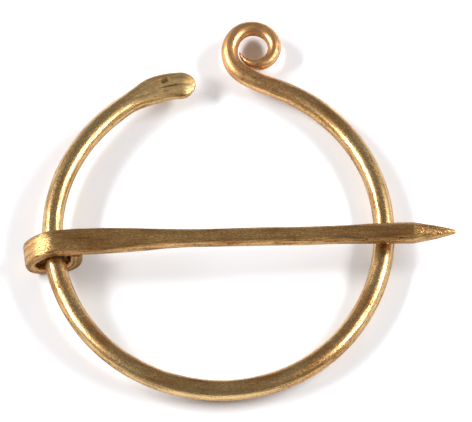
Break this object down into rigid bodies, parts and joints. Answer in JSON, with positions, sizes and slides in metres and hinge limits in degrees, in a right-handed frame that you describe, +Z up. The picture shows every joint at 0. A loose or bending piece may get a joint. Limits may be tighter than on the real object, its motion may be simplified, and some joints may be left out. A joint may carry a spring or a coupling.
{
  "type": "penannular fibula brooch",
  "caption": "Open hoop of bronze rod with a swinging pin that pierces a garment and rests across the hoop to hold it shut.",
  "frame": {"origin": "on the surface that the brooch lies on, under the middle of its box", "axes": "+Z up, +X from the pin's loop towards its point, +Y towards the gap of the hoop"},
  "size_m": [0.0616, 0.0614, 0.0069],
  "materials": {
    "hoop_bronze": "satin bronze rod with fine lengthwise draw marks and brown tarnish in the hollows",
    "pin_bronze": "filed and hammered bronze, duller than the hoop, with brown tarnish"
  },
  "bodies": {
    "hoop": {"hoop": "hoop_bronze"},
    "pin": {"pin": "pin_bronze"}
  },
  "joints": [
    {"name": "pin_swing", "type": "hinge", "parent": "hoop", "child": "pin", "pos_m": [-0.02651, -0.00742, 0.00326], "axis": [0.1131, -0.9936, -0.0042], "range_deg": [0, 178]}
  ]
}
